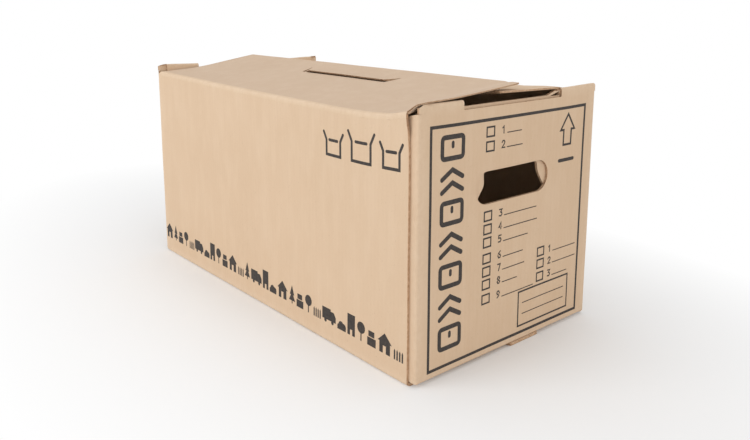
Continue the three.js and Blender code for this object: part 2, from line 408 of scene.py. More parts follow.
def noiseAt(tree, scale, detail, stretch=(1, 1, 1), roughness=0.55):
    where = addNode(tree, "ShaderNodeTexCoord").outputs["Object"]
    mapping = addNode(tree, "ShaderNodeMapping", {"Scale": stretch, "Vector": where})
    values = {"Scale": scale, "Detail": detail, "Roughness": roughness, "Vector": mapping.outputs[0]}
    return addNode(tree, "ShaderNodeTexNoise", values).outputs["Fac"]


def ramp(tree, source, low, high, lowValue=0.0, highValue=1.0):
    values = {"Value": source, "From Min": low, "From Max": high, "To Min": lowValue, "To Max": highValue}
    return addNode(tree, "ShaderNodeMapRange", values, clamp=True).outputs["Result"]


def blendColour(tree, share, first, second):
    values = {0: share, 6: first, 7: second}
    return addNode(tree, "ShaderNodeMix", values, data_type="RGBA", clamp_factor=True).outputs[2]


def combine(tree, kind, first, second):
    return addNode(tree, "ShaderNodeMath", {0: first, 1: second}, operation=kind).outputs[0]


def layered(tree, base, layers, tones):
    # Tones laid over each other, each one where its noise is strong
    for scale, detail, stretch, roughness, low, high, strength, tone in layers:
        share = ramp(tree, noiseAt(tree, scale, detail, stretch, roughness), low, high, 0, strength)
        base = blendColour(tree, share, base, tones[tone])
    return base


def relief(tree, strength, distance, height, under=None):
    values = {"Strength": strength, "Distance": distance, "Height": height}
    if under:
        values["Normal"] = under
    return addNode(tree, "ShaderNodeBump", values).outputs[0]


def fluteBands(tree):
    # Soft washboard lines where the face paper follows the flutes under it
    pattern = addNode(tree, "ShaderNodeUVMap", uv_map="pattern")
    split = addNode(tree, "ShaderNodeSeparateXYZ", {0: pattern.outputs[0]})
    pitch = sheet["flutePitch"] * sheet["patternScale"]
    return combine(tree, "SINE", combine(tree, "MULTIPLY", split.outputs[0], 2 * math.pi / pitch), 0.0)


# In each finish, a layer is its noise's scale, detail, stretch and roughness, where it starts and where it
# is full, its strength and its tone
kraft = {
    "tones": {
        "base": (220, 192, 162),
        "dark": (207, 177, 145),
        "light": (230, 206, 179),
        "fibreDark": (178, 146, 114),
        # paper lighter along the folds: partly rubbed, partly a painted highlight of the rounded fold
        "wornAndHighlit": (233, 210, 184),
    },
    "clouds": [(7, 3, (1, 1, 1), 0.55, 0.3, 0.7, 1, "base")],
    "cloudShare": 0.28,
    "layers": [
        (60, 5, (1, 1, 0.25), 0.55, 0.45, 0.75, 0.35, "light"),
        (700, 2, (1, 1, 0.6), 0.55, 0.66, 0.78, 0.45, "fibreDark"),
        (420, 6, (1, 1, 0.35), 0.7, 0.3, 0.75, 0.22, "light"),
    ],
    "bandTone": 0.025,  # how much darker the flutes' lines are
    "wearAndHighlight": (0.2, 0.45),  # least and most on a fold, of rubbed paper and painted highlight
    "roughness": (0.8, 0.92),
    "shine": 0.25,
    "grain": 0.35,
    "washboard": 0.14,
}


def kraftPaper(name, paintedShadeTint=(1, 1, 1)):
    material, tree, shader = newMaterial(name)
    # The tint darkens the tones, as painted shade for faces that get less light
    tones = {k: colour(*(c * t for c, t in zip(v, paintedShadeTint))) for k, v in kraft["tones"].items()}
    clouds = layered(tree, tones["dark"], kraft["clouds"], tones)
    base = blendColour(tree, kraft["cloudShare"], tones["base"], clouds)
    base = layered(tree, base, kraft["layers"], tones)
    bands = fluteBands(tree)
    base = blendColour(tree, ramp(tree, bands, -1, 1, 0, kraft["bandTone"]), base, tones["fibreDark"])
    # Lighter along the folds and creases: rubbed paper together with a painted highlight of the rounded
    # folds
    wearAndHighlight = addNode(tree, "ShaderNodeAttribute", attribute_name="foldWearAndHighlight").outputs["Fac"]
    rubbedAndHighlit = combine(tree, "MULTIPLY", wearAndHighlight, ramp(tree, noiseAt(tree, 160, 4), 0.38, 0.62, *kraft["wearAndHighlight"]))
    grain = relief(tree, kraft["grain"], 0.12 * mm, noiseAt(tree, 520, 6, (1, 1, 0.5), 0.65))
    connect(tree, shader, {
        "Base Color": blendColour(tree, rubbedAndHighlit, base, tones["wornAndHighlit"]),
        "Roughness": ramp(tree, noiseAt(tree, 90, 3), 0.3, 0.7, *kraft["roughness"]),
        "Specular IOR Level": kraft["shine"],
        "Normal": relief(tree, kraft["washboard"], 0.06 * mm, bands, grain),
    })
    return material


cutEdge = {
    "tones": {"dark": (186, 150, 118), "light": (214, 183, 151), "torn": (228, 205, 180)},
    "layers": [
        (240, 5, (1, 1, 1), 0.55, 0.35, 0.7, 1, "light"),
        (900, 3, (1, 1, 1), 0.55, 0.6, 0.72, 0.5, "torn"),
    ],
    "roughness": 0.95,
    "shine": 0.15,
    "grain": 0.5,
}


def cutEdgePaper():
    material, tree, shader = newMaterial("cut board edge")
    tones = {k: colour(*v) for k, v in cutEdge["tones"].items()}
    connect(tree, shader, {
        "Base Color": layered(tree, tones["dark"], cutEdge["layers"], tones),
        "Roughness": cutEdge["roughness"],
        "Specular IOR Level": cutEdge["shine"],
        "Normal": relief(tree, cutEdge["grain"], 0.15 * mm, noiseAt(tree, 800, 4)),
    })
    return material


inkLook = {
    "tones": {"dark": (44, 38, 35), "light": (58, 51, 47), "gaps": (150, 125, 100), "bands": (110, 96, 82)},
    "layers": [
        (300, 4, (1, 1, 1), 0.55, 0.35, 0.7, 1, "light"),
        (1100, 3, (1, 1, 1), 0.55, 0.66, 0.76, 0.4, "gaps"),
    ],
    "bandTone": 0.06,
    "roughness": (0.62, 0.8),
    "grain": 0.3,
}


def printInk():
    material, tree, shader = newMaterial("printing ink")
    tones = {k: colour(*v) for k, v in inkLook["tones"].items()}
    base = layered(tree, tones["dark"], inkLook["layers"], tones)
    bands = ramp(tree, fluteBands(tree), -1, 1, 0, inkLook["bandTone"])
    connect(tree, shader, {
        "Base Color": blendColour(tree, bands, base, tones["bands"]),
        "Roughness": ramp(tree, noiseAt(tree, 200, 3), 0.3, 0.7, *inkLook["roughness"]),
        "Normal": relief(tree, inkLook["grain"], 0.1 * mm, noiseAt(tree, 520, 6, (1, 1, 0.5))),
    })
    return material


cutEdgeMaterial = cutEdgePaper()
# The double ends and the top flaps take darker, greyer copies of the same kraft: painted shade for the less
# light that falls on those faces
wallPaper = kraftPaper("kraft paper of the walls")
shadedEndPaper = kraftPaper("kraft paper of the double ends, with painted shade", (0.985, 0.975, 0.965))
shadedTopPaper = kraftPaper("kraft paper of the top flaps, with painted shade", (0.965, 0.972, 0.995))
inkMaterial = printInk()
print("finishes made")

# Double end walls: outer panel, roll over the top and inner panel, from one board
ends = {
    "height": 306 * mm,
    "innerFoot": 6.8 * mm,
    "footFlap": 150 * mm,
    "cornerTop": 296 * mm,  # where the corner's fold ends below the roll
    "cornerFoot": 4.4 * mm,
    "cornerCut": 0.3 * mm,  # between the corner's fold and the panel's edge over it
    "upperEdge": 0.8 * mm,  # that edge inside the side wall's face
    "relief": 10 * mm,  # cut out of the roll's ends so that it turns over freely
    "reliefFoot": 288 * mm,
    "reliefSlant": 5 * mm,
    "insideGap": 0.4 * mm,  # from the panel's edges to the folds beside it
    "footTaper": 2 * mm,
    "rollCut": 0.45,  # share of the roll over which its corners are whole
    "tabSink": 3.2 * mm,  # the glued tab's top gapes away from the side wall's edge
    "tabSinkAcross": 9 * mm,
    "tabSinkUp": (30 * mm, 3 * mm),  # begins and is full this far below the fold
    "tabReach": 45 * mm,
    "tabTop": (12 * mm, 18 * mm),  # slant along and down
    "tabFoot": (6 * mm, 16 * mm),  # slant along and up
    "tabStep": thickness,  # the glued tab lies this far inside the side wall's face
    "nearUpperTop": 303 * mm,  # the panel's top corner over the near fold
    "tabTopLow": 293.4 * mm,
    "secondCrease": 10 * mm,  # a pressed line beside the near corner's fold, shown only as a lighter line of rubbed paper and painted highlight
    "notchLeft": -86 * mm,
    "notchRight": 84 * mm,
    "notchFloor": 295.5 * mm,
    "innerNotchFloor": 298.6 * mm,
    "innerNotchCut": 24 * mm,  # slanted end of the inner notch
    "tornCorner": [(83, 302.1), (64.5, 297.2), (83, 297.2)],  # across and up, in the inner panel beside it
    "handHoleWidth": 128 * mm,
    "handHoleHeight": 38 * mm,
    "handHoleMiddle": 204 * mm,
    # across and up, in the inner panel
    "innerHandHole": [(-48, 222), (-47, 206), (-58, 191), (-51, 182),
                      (53, 183), (62, 189), (49, 208), (45.5, 222)],
}
rollRadius = thickness + sheet["layerGap"] / 2
endWallLength = ends["height"] - rollRadius - endFoot - foldRadius
rollLength = math.pi * rollRadius


def endPattern(z):
    # Height on the outer panel to its place in the pattern
    return z - endFoot - foldRadius


def innerPattern(z):
    return endWallLength + rollLength + ends["height"] - rollRadius - z


def placeEnd(side, nearHalf, farHalf):
    def profile(v, depth):
        if v < -quarterTurn:
            return halfLength - foldRadius + v + quarterTurn, endFoot + depth
        if v < 0:
            out, up = bend(v, foldRadius, depth)
            return halfLength - foldRadius + out, endFoot + foldRadius + up
        if v <= endWallLength:
            return halfLength - depth, endFoot + foldRadius + v
        if v < endWallLength + rollLength:
            out, up = bend(v - endWallLength, rollRadius, depth)
            return halfLength - rollRadius + out, ends["height"] - rollRadius + up
        return (halfLength - 2 * rollRadius + depth,
                ends["height"] - rollRadius - (v - endWallLength - rollLength))

    def place(u, v, depth):
        half = farHalf if u > 0 else nearHalf
        flat = half - foldRadius
        if abs(u) <= flat or v > endPattern(ends["cornerTop"]) + ends["cornerCut"] / 2:
            out, z = profile(v, depth)
            return Vector((side * out, u, z))
        z = profile(v, 0)[1]
        if (abs(u) - flat) / foldRadius < math.pi / 2:
            bentOut, bentAcross = bend(abs(u) - flat, foldRadius, depth)
            out, y = halfLength - foldRadius + bentOut, flat + bentAcross
        else:
            pastFold = abs(u) - flat - quarterTurn
            out, y = halfLength - foldRadius - pastFold, half - depth
            if u < 0 and nearHalf < halfWidth:
                begins, full = ends["tabSinkUp"]
                sunk = smooth(z, foldLine.z - begins, foldLine.z - full)
                y -= ends["tabSink"] * smooth(pastFold, 0, ends["tabSinkAcross"]) * sunk
        return Vector((side * out, math.copysign(y, u), z))

    return place


def roundHole(width, height, middleV):
    radius = height / 2
    reach = width / 2 - radius
    turns = [math.pi * (i / 16 - 0.5) for i in range(17)]
    right = [(reach + radius * math.cos(t), middleV + radius * math.sin(t)) for t in turns]
    left = [(-reach - radius * math.cos(t), middleV - radius * math.sin(t)) for t in turns]
    return right + left


def softened(points, radius, steps=4):
    # A closed outline with each corner rounded by a short curve
    result = []
    count = len(points)
    for i in range(count):
        corner, before, after = Vector(points[i]), Vector(points[i - 1]), Vector(points[(i + 1) % count])
        cut = min(radius, (before - corner).length / 2.1, (after - corner).length / 2.1)
        start = corner + (before - corner).normalized() * cut
        end = corner + (after - corner).normalized() * cut
        for k in range(steps + 1):
            t = k / steps
            p = start * (1 - t) ** 2 + corner * 2 * t * (1 - t) + end * t * t
            result.append((p.x, p.y))
    return result


def notchHole():
    low, high = endPattern(ends["notchFloor"]), innerPattern(ends["innerNotchFloor"])
    top = endWallLength + rollLength / 2
    left, right = ends["notchLeft"], ends["notchRight"]
    cut = ends["innerNotchCut"]
    corners = [(left, low), (right, low), (right, top + 2 * mm), (right - cut, high), (left, high)]
    return softened(corners, 1.2 * mm, 3)


def innerHandHole():
    corners = [(y * mm, innerPattern(z * mm)) for y, z in ends["innerHandHole"]]
    return softened(corners, 4 * mm)


def tornCorner():
    return softened([(y * mm, innerPattern(z * mm)) for y, z in ends["tornCorner"]], 0.8 * mm, 2)


def makeEnd(name, side, nearHalf, tab):
    nearFlat, farFlat = nearHalf - foldRadius, halfWidth - foldRadius
    nearInside, farInside = nearFlat - ends["insideGap"], farFlat - ends["insideGap"]
    footEnd = -quarterTurn - ends["footFlap"] + foldRadius
    cornerLow, cornerHigh = endPattern(ends["cornerFoot"]), endPattern(ends["cornerTop"])
    innerEnd = innerPattern(ends["innerFoot"])
    farEdge = farFlat + quarterTurn
    nearEdge = -(nearFlat + quarterTurn)
    overCut, rollTop = cornerHigh + ends["cornerCut"], endWallLength + rollLength * ends["rollCut"]
    reliefEnd = innerPattern(ends["reliefFoot"])
    reliefStart = reliefEnd - ends["reliefSlant"]
    taper = ends["footTaper"]
    nearRelief, farRelief = -nearInside + ends["relief"], farInside - ends["relief"]
    nearUpper, farUpper = -nearHalf + ends["upperEdge"], halfWidth - ends["upperEdge"]
    outline = [(-nearInside + taper, footEnd), (farInside - taper, footEnd), (farInside, cornerLow),
               (farEdge, cornerLow), (farEdge, cornerHigh), (farInside, cornerHigh), (farInside, overCut),
               (farUpper, overCut), (farUpper, rollTop), (farRelief, rollTop + 1 * mm),
               (farRelief, reliefStart), (farInside, reliefEnd), (farInside, innerEnd),
               (-nearInside, innerEnd), (-nearInside, reliefEnd), (nearRelief, reliefStart),
               (nearRelief, rollTop + 1 * mm), (nearUpper, endPattern(ends["nearUpperTop"])),
               (nearUpper, overCut), (-nearInside, overCut), (-nearInside, cornerHigh)]
    if tab:
        tabEnd, tabTop = nearEdge - ends["tabReach"] + foldRadius, endPattern(ends["tabTopLow"])
        topAlong, topDown = ends["tabTop"]
        footAlong, footUp = ends["tabFoot"]
        outline += [(nearEdge, cornerHigh), (nearEdge - topAlong, tabTop), (tabEnd, tabTop - topDown),
                    (tabEnd, cornerLow + footUp), (nearEdge - footAlong, cornerLow),
                    (-nearInside, cornerLow)]
    else:
        outline += [(nearEdge, cornerHigh), (nearEdge, cornerLow), (-nearInside, cornerLow)]
    foldsV = [(-quarterTurn, 0), (endWallLength, endWallLength + rollLength)]
    foldsU = [(nearEdge, -nearFlat), (farFlat, farEdge)]
    us = gridLines(min(p[0] for p in outline), farEdge, foldsU)
    vs = gridLines(footEnd, innerEnd, foldsV)
    creases = foldsU + [(-nearHalf + ends["secondCrease"],) * 2]
    holes = [roundHole(ends["handHoleWidth"], ends["handHoleHeight"], endPattern(ends["handHoleMiddle"])),
             notchHole(), innerHandHole(), tornCorner()]
    joins = [farEdge] + ([] if tab else [nearEdge])
    plain = lambda u, v: any(abs(u - j) < 0.1 * mm for j in joins) and cornerLow < v < cornerHigh
    return makeBoard(name, outline, holes, placeEnd(side, nearHalf, halfWidth), us, vs, foldsV, creases,
                     plain, shadedEndPaper)


frontEnd = makeEnd("frontEnd", 1, halfWidth - ends["tabStep"], True)
rearEnd = makeEnd("rearEnd", -1, halfWidth, False)

# Side walls with their bottom flaps. The far one goes on over its fold into the rear top flap.
sides = {
    "joint": 289 * mm,  # the near wall's cut edge over the glued tab
    "jointTop": 284.5 * mm,
    "jointCurve": [(0, 28), (1.5, 12)],  # back along the wall, and below the fold's strip
    "cornerMeet": halfLength - foldRadius,
    "bottomEnd": halfLength - 9 * mm,
    "halfSeam": 0.4 * mm,
    "strip": 3 * mm,  # of the near wall and of the flap that bend with the fold
    "cornerLift": 3.8 * mm,  # the near fold stands higher at the front corner
    "liftFrom": 255 * mm,
    "liftBelow": 25 * mm,  # how far down the wall it goes
    "lockTab": (2.5 * mm, 60 * mm),
    "rearFlapWidth": 180 * mm,
    "rearFlapRise": 12 * mm,
    "rearFlapCrown": 5 * mm,
    "rearFlapEnd": halfLength - 7 * mm,
    "rearTabEnd": halfLength - 1.2 * mm,
    "rearTabLine": [(0, 0), (30, 7), (72, 13.6), (140, 15.2), (180, 16.2)],  # rise of its front end
    "rearTabCrush": 0.3,  # share of the thickness that is pressed out of it
    "crushAlong": 16 * mm,
    "crushAcross": 15 * mm,
    "rampLength": 75 * mm,  # of the flap's rise towards its front end
    "rampShorter": 37 * mm,  # by this much where the front flap lies on it
    "shorterFrom": 110 * mm,
    "shorterTo": 140 * mm,
    "rampEnd": 6 * mm,
    "rearTabFrom": 72 * mm,  # from the far fold to where the flap is wide enough for the notch
}
wallPatternTop = foldLine.z - 2 * foldRadius


def cornerLift(x, z):
    raised = sides["cornerLift"] * smooth(x, sides["liftFrom"], sides["jointTop"])
    return raised * smooth(z, foldLine.z - sides["liftBelow"], foldLine.z - foldRadius)


def placeSide(side):
    def profile(v, depth):
        if v < -quarterTurn:
            return halfWidth - foldRadius + v + quarterTurn, depth
        if v < 0:
            out, up = bend(v, foldRadius, depth)
            return halfWidth - foldRadius + out, foldRadius + up
        if v <= wallPatternTop:
            return halfWidth - depth, foldRadius + v
        if v < wallPatternTop + quarterTurn:
            out, up = bend(v - wallPatternTop, foldRadius, depth)
            return halfWidth - foldRadius + out, foldLine.z - foldRadius + up
        along = v - wallPatternTop - quarterTurn
        share = along / (sides["rearFlapWidth"] - foldRadius)
        rise = sides["rearFlapRise"] * share + sides["rearFlapCrown"] * 4 * share * (1 - share)
        return halfWidth - foldRadius - along, foldLine.z + rise - depth

    def place(u, v, depth):
        along = v - wallPatternTop - quarterTurn
        if along <= 0:
            out, z = profile(v, depth)
            return Vector((u, side * out, z + (cornerLift(u, z) if side < 0 else 0)))
        crushed = smooth(abs(u), halfLength - sides["crushAlong"], halfLength)
        depth *= 1 - sides["rearTabCrush"] * (crushed * smooth(along, 0, sides["crushAcross"]))
        out, z = profile(v, depth)
        raised = foldLine.z + between(along, sides["rearTabLine"]) - depth
        shorter = sides["rampShorter"] * smooth(along, sides["shorterFrom"], sides["shorterTo"])
        rampFrom = sides["rampLength"] - shorter
        z += (raised - z) * smooth(u, halfLength - rampFrom, halfLength - sides["rampEnd"])
        return Vector((u, side * out, z))

    return place


def bottomEdge():
    return -quarterTurn - (halfWidth - foldRadius - sides["halfSeam"])


def makeNearSide():
    top = wallPatternTop - sides["strip"]
    end, low = sides["bottomEnd"], bottomEdge()
    meet, joint = sides["cornerMeet"], sides["joint"]
    foot = -quarterTurn - 1 * mm
    curve = [(joint - back * mm, top - down * mm) for back, down in sides["jointCurve"]]
    outline = [(-end, low), (end, low), (end, foot), (joint, -1 * mm), *curve, (sides["jointTop"], top),
               (-meet, top), (-meet, -2 * mm), (-end, foot)]
    folds, corner = [(-quarterTurn, 0)], [(-meet, -meet)]
    us = gridLines(-meet, end, [])
    vs = gridLines(low, top, folds)
    plain = lambda u, v: (v > top - 0.1 * mm and u < sides["jointTop"]) or (u < -meet + 0.1 * mm and v > 0)
    return makeBoard("nearSide", outline, [], placeSide(-1), us, vs, folds, corner, plain, wallPaper)


def makeFarSide():
    end, low = sides["bottomEnd"], bottomEdge()
    meet = sides["cornerMeet"]
    tabLow, tabHigh = (low + y - sides["halfSeam"] for y in sides["lockTab"])
    flapStart = wallPatternTop + quarterTurn
    freeEdge = flapStart + sides["rearFlapWidth"] - foldRadius
    tabFrom = flapStart + sides["rearTabFrom"]
    cornerTop = ends["cornerTop"] - foldRadius
    flapEnd, tabEnd = sides["rearFlapEnd"], sides["rearTabEnd"]
    # The same at both ends
    edge = [(end, -quarterTurn - 1 * mm), (meet, -2 * mm), (meet, wallPatternTop), (flapEnd, flapStart),
            (flapEnd, tabFrom - 2 * mm), (tabEnd, tabFrom), (tabEnd - 2 * mm, freeEdge)]
    outline = [(-end, low), (end, low), (end, tabLow), (halfLength, tabLow + 3 * mm),
               (halfLength, tabHigh - 3 * mm), (end, tabHigh), *edge, *[(-u, v) for u, v in reversed(edge)]]
    folds = [(-quarterTurn, 0), (wallPatternTop, flapStart)]
    us = gridLines(-halfLength, halfLength, [])
    vs = gridLines(low, freeEdge, folds)
    plain = lambda u, v: abs(abs(u) - meet) < 0.1 * mm and 0 < v < cornerTop
    corners = [(-halfLength, -meet), (meet, halfLength)]
    return makeBoard("farSide", outline, [], placeSide(1), us, vs, folds, corners, plain, wallPaper)


nearSide = makeNearSide()
farSide = makeFarSide()

# Front top flap: it lies over the rear one and its front end is bent up over the end panel
frontFlap = {
    "width": 168 * mm,
    "freeEdge": 317 * mm,
    "sag": 2.5 * mm,
    "onEnd": 307.9 * mm,
    "endCurve": 1.5,  # how late the front end rises from there to the free edge's height
    "nearFold": 0.35,  # share of the width where the fold still shapes it
    "cornerDrop": 1 * mm,  # its front corner hangs down beside the roll, near the fold
    "cornerDropTo": 14 * mm,  # from the box's side
    "besideRoll": 5 * mm,
    "bendFrom": 240 * mm,
    "bendTo": 298 * mm,
    "beforeRoll": 293 * mm,  # near the fold the bend is over here
    "creaseAt": 277 * mm,
    "frontEnd": 299.6 * mm,
    "rearEnd": -293 * mm,
    "taper": 6 * mm,
    "creaseDrop": 0.8 * mm,
    "creaseWidth": 3 * mm,
    "crush": 0.5,  # share of the thickness that is pressed out of its front end
    "crushFrom": 16 * mm,
    "crushTo": 5 * mm,
    "cornerCrush": 12 * mm,  # across, at the cut beside the fold
    "tongueCrush": 0.5,
    "tongueCrushReach": 6 * mm,
    "tongueMiddle": 31 * mm,
    "tongueTip": 178 * mm,
    "tongueRoot": 194 * mm,
    "tongueReach": 22 * mm,
    "tongueRootFrom": 136 * mm,  # from the fold
    "tongueLift": 3 * mm,
    "tongueCornerDrop": 1.5 * mm,  # its rear corner is pressed in
    "tongueCornerWidth": 16 * mm,
    "slit": 1.1 * mm,
    "rootSlit": 284 * mm,  # beyond this the flap is cut free of the fold
}
flapStartY = -halfWidth + foldRadius


def flapTop(x, y):
    onEnd, freeEdge, rootSlit = (frontFlap[k] for k in ("onEnd", "freeEdge", "rootSlit"))
    reach = (y - flapStartY) / (frontFlap["width"] - foldRadius)
    middle = foldLine.z + (freeEdge - foldLine.z) * reach - frontFlap["sag"] * 4 * reach * (1 - reach)
    dropTo = -halfWidth + frontFlap["cornerDropTo"]
    onEnd -= frontFlap["cornerDrop"] * (1 - smooth(y, -halfWidth - 0.5 * mm, dropTo))
    end = onEnd + (freeEdge - onEnd) * max(0, reach) ** frontFlap["endCurve"]
    fromFold = smooth(reach, 0, frontFlap["nearFold"])
    middle += cornerLift(x, foldLine.z) * (1 - fromFold)
    bendFrom = rootSlit + (frontFlap["bendFrom"] - rootSlit) * fromFold
    besideRoll = 1 - smooth(y, -halfWidth + frontFlap["besideRoll"], dropTo)
    rootBendTo = frontFlap["beforeRoll"] + (frontFlap["frontEnd"] - frontFlap["beforeRoll"]) * besideRoll
    bendTo = rootBendTo + (frontFlap["bendTo"] - rootBendTo) * fromFold
    straight = min(1, max(0, (x - bendFrom) / (bendTo - bendFrom)))
    share = straight + (smooth(x, bendFrom, bendTo) - straight) * fromFold
    fromCrease = (x - frontFlap["creaseAt"]) / frontFlap["creaseWidth"]
    return middle + (end - middle) * share - frontFlap["creaseDrop"] * math.exp(-fromCrease ** 2)


def tongueCorners(margin):
    root = -halfWidth + frontFlap["tongueRootFrom"]
    tip = root - frontFlap["tongueReach"]
    middle = frontFlap["tongueMiddle"]
    wide, narrow = frontFlap["tongueRoot"] / 2 + margin, frontFlap["tongueTip"] / 2 + margin
    return [(middle - wide, root), (middle - narrow, tip - margin),
            (middle + narrow, tip - margin), (middle + wide, root)]


def tongueHeight(x, y):
    (rootLeft, root), (tipLeft, tip), (tipRight, _), (rootRight, _) = tongueCorners(frontFlap["slit"] / 2)
    if not tip < y < root:
        return 0
    share = (root - y) / (root - tip)
    left, right = rootLeft + (tipLeft - rootLeft) * share, rootRight + (tipRight - rootRight) * share
    if not left < x < right:
        return 0
    corner = 1 - smooth(x, left, left + frontFlap["tongueCornerWidth"])
    return share * (frontFlap["tongueLift"] * (1 - corner) - frontFlap["tongueCornerDrop"] * corner)


def placeFlap(u, v, depth):
    # v counts from the hinge line across the flap
    y = -halfWidth + v
    z, lift = flapTop(u, y), tongueHeight(u, y)
    end, slitEnd = frontFlap["frontEnd"], frontFlap["rootSlit"]
    atEnd = smooth(u, end - frontFlap["crushFrom"], end - frontFlap["crushTo"])
    atCorner = smooth(u, slitEnd - 1 * mm, slitEnd + 5 * mm) * (1 - smooth(v, 0, frontFlap["cornerCrush"]))
    depth *= 1 - frontFlap["crush"] * max(atEnd, atCorner)
    if lift:
        tip = -tongueCorners(0)[1][1]
        depth *= 1 - frontFlap["tongueCrush"] * smooth(-y, tip - frontFlap["tongueCrushReach"], tip)
    step = 0.5 * mm
    slope = Vector((-(flapTop(u + step, y) - z) / step, -(flapTop(u, y + step) - z) / step, 1)).normalized()
    return Vector((u, y, z + lift)) - slope * depth


def makeFrontFlap():
    start = foldRadius + sides["strip"]
    width = frontFlap["width"]
    front, rear, taper = frontFlap["frontEnd"], frontFlap["rearEnd"], frontFlap["taper"]
    slitEnd = frontFlap["rootSlit"]
    outline = [(rear, start), (slitEnd, start), (slitEnd + 1 * mm, 0.3 * mm), (front, 0.3 * mm),
               (front - taper, width - 1.5 * mm), (front - taper - 1.5 * mm, width),
               (rear + taper + 2 * mm, width), (rear + taper, width - 2 * mm)]
    outer, inner = tongueCorners(frontFlap["slit"]), tongueCorners(0)
    slit = [(x, y + halfWidth) for x, y in outer + inner[::-1]]
    creaseAt = frontFlap["creaseAt"]
    us = gridLines(rear, front, [(creaseAt - 7 * mm, creaseAt + 7 * mm)])
    vs = gridLines(0.3 * mm, width, [])
    plain = lambda u, v: v < start + 0.1 * mm and u < slitEnd
    return makeBoard("frontTopFlap", outline, [slit], placeFlap, us, vs, [], [(creaseAt, creaseAt)], plain,
                     shadedTopPaper)


frontTopFlap = makeFrontFlap()


# The fold that the front flap turns on: the last of the wall, the bend and the first of the flap
def placeFold(u, v, depth):
    if v < 0:
        z = foldLine.z - foldRadius + v
        return Vector((u, -halfWidth + depth, z + cornerLift(u, z)))
    if v < quarterTurn:
        out, up = bend(v, foldRadius, depth)
        z = foldLine.z - foldRadius + cornerLift(u, foldLine.z) + up
        return Vector((u, -halfWidth + foldRadius - out, z))
    return placeFlap(u, foldRadius + v - quarterTurn, depth)


def makeFold():
    low, high = -sides["strip"], quarterTurn + sides["strip"]
    rear, front = -sides["cornerMeet"], sides["jointTop"]
    flapRear = frontFlap["rearEnd"]
    outline = [(rear, low), (front, low), (front, high), (flapRear, high), (flapRear, quarterTurn * 0.4),
               (rear, 0)]
    folds = [(0, quarterTurn)]
    us = gridLines(rear, front, [])
    vs = gridLines(low, high, folds, 1.5 * mm)
    plain = lambda u, v: v < low + 0.1 * mm or v > high - 0.1 * mm
    return makeBoard("frontFold", outline, [], placeFold, us, vs, folds, [], plain, wallPaper)


frontFold = makeFold()

for piece in (frontEnd, rearEnd, nearSide, farSide):
    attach(piece, "carton")
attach(frontTopFlap, "front_top_flap")
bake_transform(frontFold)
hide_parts("carton")
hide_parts("front_top_flap")
print("board pieces ride on their bodies")

# Print: thin shapes of ink that lie on the outer paper
ink = {"height": 0.06 * mm, "cell": 9 * mm}


def inkPiece(name, shapes, place):
    # shapes is a list of (outline, holes) in the pattern of the board that place belongs to
    vertices, faces, layout = [], [], []
    for outline, holes in shapes:
        everyU, everyV = [p[0] for p in outline], [p[1] for p in outline]
        us = gridLines(min(everyU), max(everyU), [], ink["cell"])
        vs = gridLines(min(everyV), max(everyV), [], ink["cell"])
        points, triangles, _ = fillPattern(outline, holes, us, vs)
        base = len(vertices)
        vertices += [settle(place(u, v, -ink["height"])) for u, v in points]
        layout += points
        faces += [tuple(base + i for i in t) for t in triangles]
    mesh = bpy.data.meshes.new(name)
    mesh.from_pydata(vertices, [], faces)
    outward = Vector(place(0, 0.1, -1 * mm)) - Vector(place(0, 0.1, 0))
    if mesh.polygons[0].normal.dot(outward) < 0:
        mesh.flip_normals()
    mesh.materials.append(inkMaterial)
    writePattern(mesh, layout, 0, [], [])
    piece = newObject(name, mesh)
    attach(piece, "carton")
    print("printed", name, len(shapes), "shapes")


def offsetLine(points, distance, closed):
    result = []
    count = len(points)
    for i, p in enumerate(points):
        before = points[i - 1] if closed or i else None
        after = points[(i + 1) % count] if closed or i + 1 < count else None
        directions = [(Vector(b) - Vector(a)).normalized() for a, b in ((before, p), (p, after)) if a and b]
        normals = [Vector((-d.y, d.x)) for d in directions]
        normal = sum(normals, Vector((0, 0))).normalized()
        stretch = 1 / max(0.5, normal.dot(normals[0]))
        result.append((p[0] + normal.x * distance * stretch, p[1] + normal.y * distance * stretch))
    return result


def ringShape(points, width):
    outer, inner = offsetLine(points, -width / 2, True), offsetLine(points, width / 2, True)
    if abs(signedArea(outer)) < abs(signedArea(inner)):
        outer, inner = inner, outer
    return outer, [inner]


def lineShape(points, width):
    # A stroke with round ends
    left, right = offsetLine(points, width / 2, False), offsetLine(points, -width / 2, False)

    def cap(middle, start):
        direction = Vector(start) - Vector(middle)
        first = math.atan2(direction.y, direction.x)
        turns = [first - math.pi * k / 6 for k in range(1, 6)]
        return [(middle[0] + width / 2 * math.cos(t), middle[1] + width / 2 * math.sin(t)) for t in turns]

    return left + cap(points[-1], left[-1]) + right[::-1] + cap(points[0], right[0]), []


def boxPoints(left, low, right, high):
    return [(left, low), (right, low), (right, high), (left, high)]


